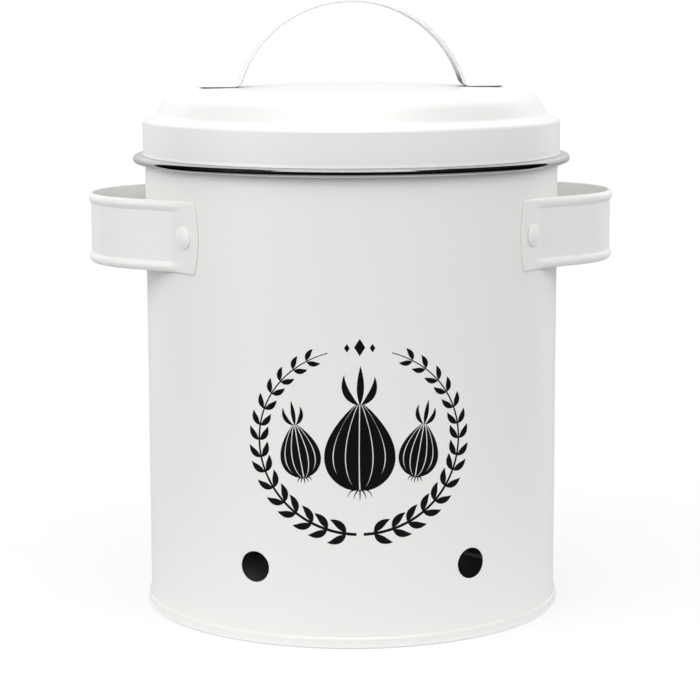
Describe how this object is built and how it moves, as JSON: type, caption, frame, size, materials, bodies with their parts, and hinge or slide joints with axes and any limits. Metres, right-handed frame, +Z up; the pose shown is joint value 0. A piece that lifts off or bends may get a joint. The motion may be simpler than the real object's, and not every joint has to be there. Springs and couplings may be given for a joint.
{
  "type": "onion storage tin",
  "caption": "Upright round sheet-steel kitchen keeper with vent holes, a rolled bright rim, two strap side handles and a domed lift-off lid with an arched strap handle.",
  "frame": {"origin": "centre of the base, on the surface that it stands on", "axes": "+Z up along the pot's axis, -Y to the front with two of the vents, +X and -X to the two side handles"},
  "size_m": [0.2294, 0.1906, 0.2653],
  "materials": {
    "white_powder_coat": "semi-gloss powder coat",
    "white_rivet_coat": "semi-gloss powder coat",
    "polished_steel_trim": "polished stainless steel"
  },
  "bodies": {
    "pot": {"body_wall": "white_powder_coat", "base_plate": "white_powder_coat", "rim_ring": "polished_steel_trim", "side_handle_right": "white_powder_coat", "side_handle_left": "white_powder_coat", "side_handle_rivets": "white_rivet_coat"},
    "lid": {"lid_cap": "white_powder_coat", "lid_collar": "white_powder_coat", "lid_handle": "white_powder_coat"}
  },
  "joints": [
    {"name": "lid_lift", "type": "slide", "parent": "pot", "child": "lid", "axis": [0, 0, 1], "range_m": [0, 0.2]}
  ]
}
